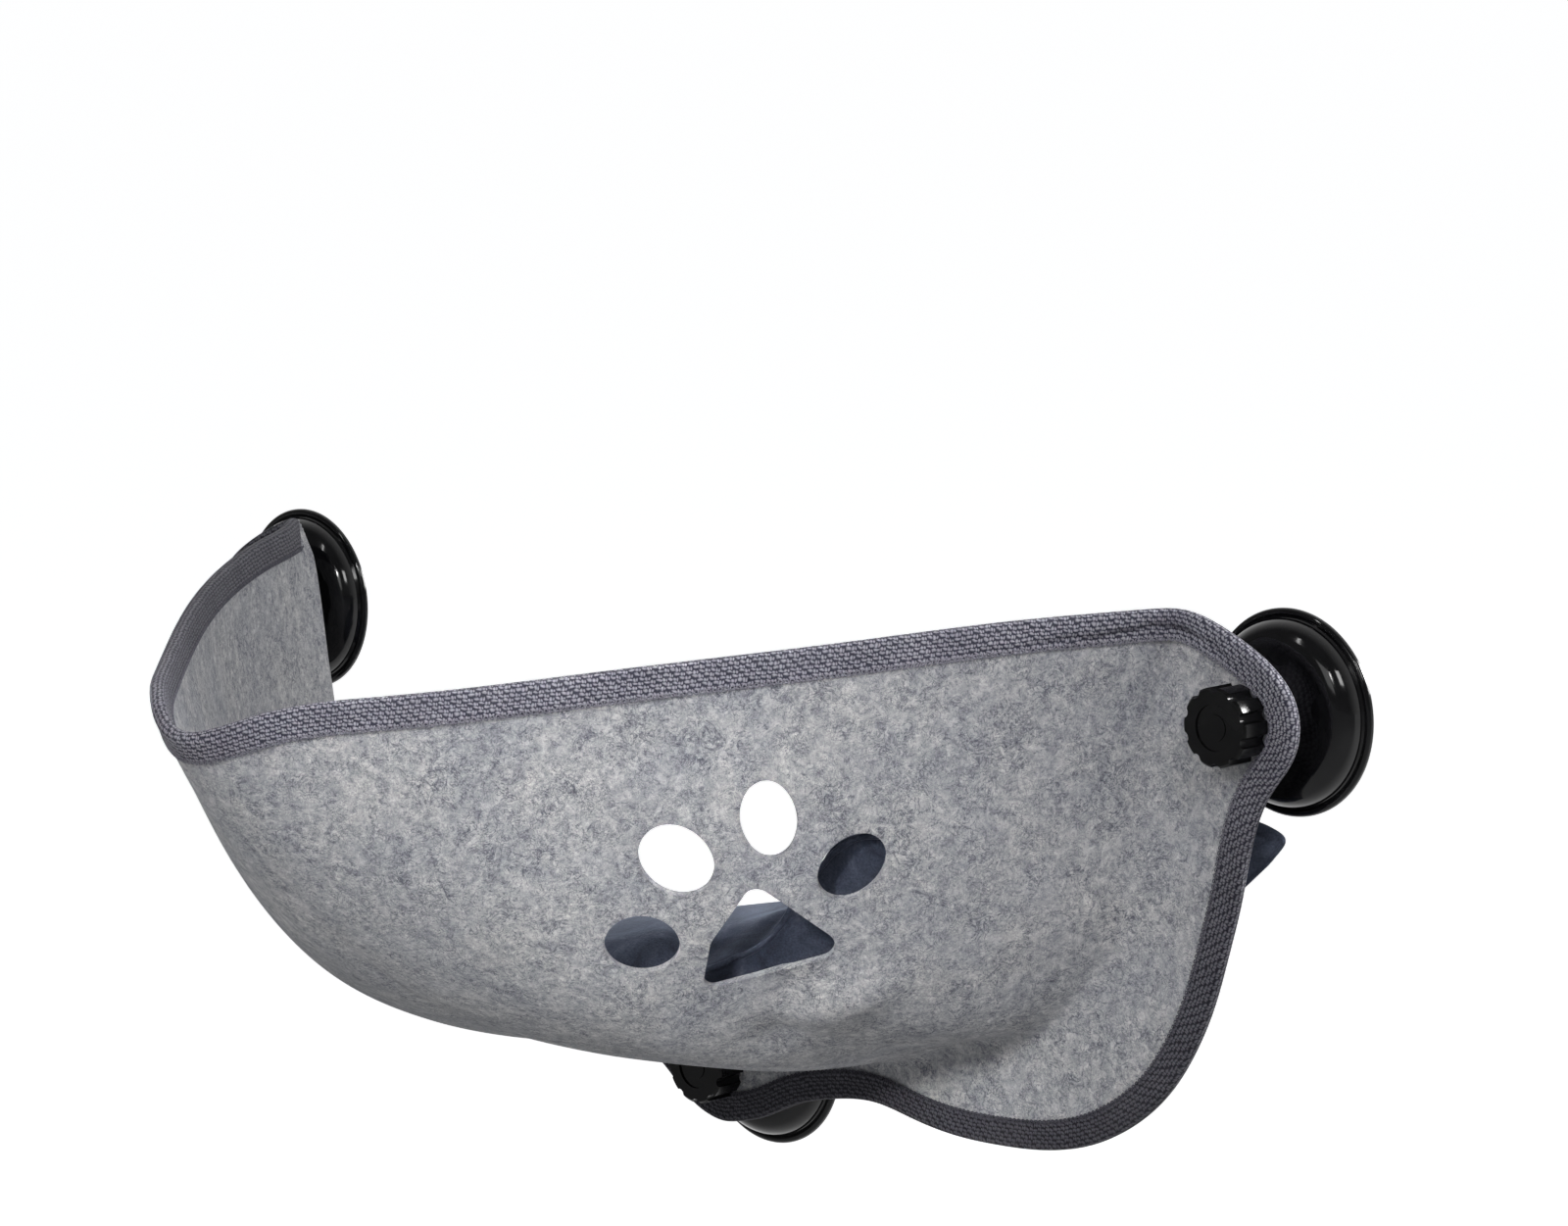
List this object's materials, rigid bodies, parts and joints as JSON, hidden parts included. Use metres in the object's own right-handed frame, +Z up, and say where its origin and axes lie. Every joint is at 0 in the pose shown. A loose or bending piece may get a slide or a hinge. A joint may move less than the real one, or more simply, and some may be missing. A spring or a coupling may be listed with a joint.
{
  "type": "window mounted cat perch",
  "caption": "Felt sling perch with taped edges, a paw print cut-out, a loose cushion and suction cups with lobed screw knobs for a window.",
  "frame": {"origin": "on the window glass, midway between the centres of the two upper suction cups", "axes": "+X along the window to the right as seen from the room, +Y into the glass, +Z up"},
  "size_m": [0.689, 0.3291, 0.2647],
  "materials": {
    "felt": "matt pressed felt with mottled fibres",
    "tape": "woven tape",
    "cushion_cloth": "short pile cloth",
    "filling": "loose fibre filling",
    "cup_rubber": "glossy moulded rubber",
    "knob_plastic": "satin moulded plastic",
    "steel": "zinc plated",
    "eyelet_metal": "dark nickel",
    "brass": "plain"
  },
  "bodies": {
    "sling": {"felt_sling": "felt", "rim_tape": "tape", "wing_tape": "tape", "suction_cup_left": "cup_rubber", "stud_left": "steel", "eyelet_left": "eyelet_metal", "suction_cup_right": "cup_rubber", "stud_right": "steel", "eyelet_right": "eyelet_metal", "suction_cup_bottom": "cup_rubber", "stud_bottom": "steel", "eyelet_bottom": "eyelet_metal"},
    "washer_left": {"washer_left": "steel"},
    "knob_left": {"knob_left": "knob_plastic", "knob_nut_left": "brass"},
    "washer_right": {"washer_right": "steel"},
    "knob_right": {"knob_right": "knob_plastic", "knob_nut_right": "brass"},
    "washer_bottom": {"washer_bottom": "steel"},
    "knob_bottom": {"knob_bottom": "knob_plastic", "knob_nut_bottom": "brass"},
    "cushion": {"cushion_cover": "cushion_cloth", "cushion_filling": "filling"}
  },
  "joints": [
    {"name": "washer_left_travel", "type": "slide", "parent": "sling", "child": "washer_left", "axis": [0, -1, 0], "range_m": [0, 0.0075]},
    {"name": "knob_left_turn", "type": "hinge", "parent": "washer_left", "child": "knob_left", "pos_m": [-0.302, -0.0341, 0], "axis": [0, -1, 0], "range_deg": [0, 2160]},
    {"name": "washer_right_travel", "type": "slide", "parent": "sling", "child": "washer_right", "axis": [0, -1, 0], "range_m": [0, 0.0075]},
    {"name": "knob_right_turn", "type": "hinge", "parent": "washer_right", "child": "knob_right", "pos_m": [0.302, -0.0341, 0], "axis": [0, -1, 0], "range_deg": [0, 2160]},
    {"name": "washer_bottom_travel", "type": "slide", "parent": "sling", "child": "washer_bottom", "axis": [0, -1, 0], "range_m": [0, 0.0075]},
    {"name": "knob_bottom_turn", "type": "hinge", "parent": "washer_bottom", "child": "knob_bottom", "pos_m": [0, -0.0341, -0.178], "axis": [0, -1, 0], "range_deg": [0, 2160]},
    {"name": "cushion_lift", "type": "hinge", "parent": "sling", "child": "cushion", "pos_m": [0.262, -0.018, -0.025], "axis": [0, 1, 0], "range_deg": [0, 40]}
  ],
  "couplings": [
    {"joint": "washer_left_travel", "follows": "knob_left_turn", "m_per_rad": 0.00019894},
    {"joint": "washer_right_travel", "follows": "knob_right_turn", "m_per_rad": 0.00019894},
    {"joint": "washer_bottom_travel", "follows": "knob_bottom_turn", "m_per_rad": 0.00019894}
  ]
}
